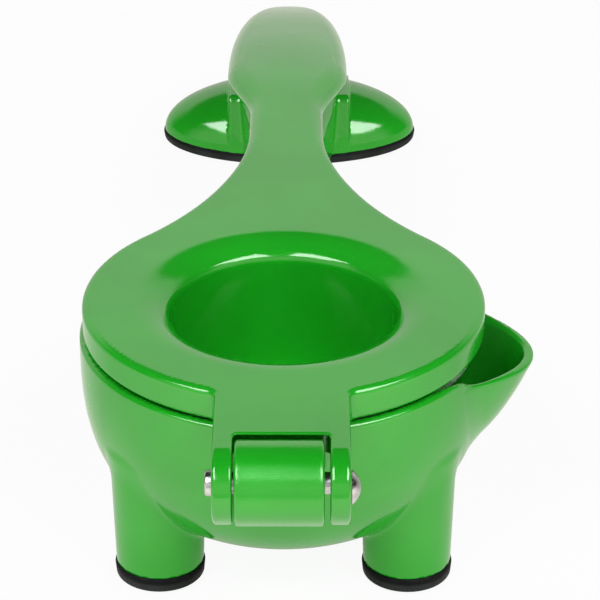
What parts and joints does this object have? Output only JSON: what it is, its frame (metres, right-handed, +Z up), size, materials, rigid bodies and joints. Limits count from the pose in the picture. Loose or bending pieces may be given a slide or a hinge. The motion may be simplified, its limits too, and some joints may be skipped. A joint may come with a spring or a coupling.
{
  "type": "citrus press",
  "caption": "Tabletop citrus press: a cast bowl with spout on legs, a hinged lever with a hollow press cup, a strainer and rubber feet.",
  "frame": {"origin": "on the table, at the centre of the rear foot's rubber pad", "axes": "+Z up, +Y back along the lever towards the rear foot, +X towards the pouring spout"},
  "size_m": [0.11, 0.3294, 0.0639],
  "materials": {
    "enamel": "glossy green enamel over a cast aluminium body",
    "strainer_metal": "satin",
    "rivet_steel": "polished",
    "pad_rubber": "matte black"
  },
  "bodies": {
    "base": {"base_casting": "enamel", "strainer_cup": "strainer_metal", "left_foot_pad": "pad_rubber", "right_foot_pad": "pad_rubber", "rear_foot_pad": "pad_rubber"},
    "lever": {"press_lever": "enamel", "hinge_rivet": "rivet_steel"}
  },
  "joints": [
    {"name": "press_hinge", "type": "hinge", "parent": "base", "child": "lever", "pos_m": [0, -0.298, 0.0543], "axis": [1, 0, 0], "range_deg": [0, 120]}
  ]
}
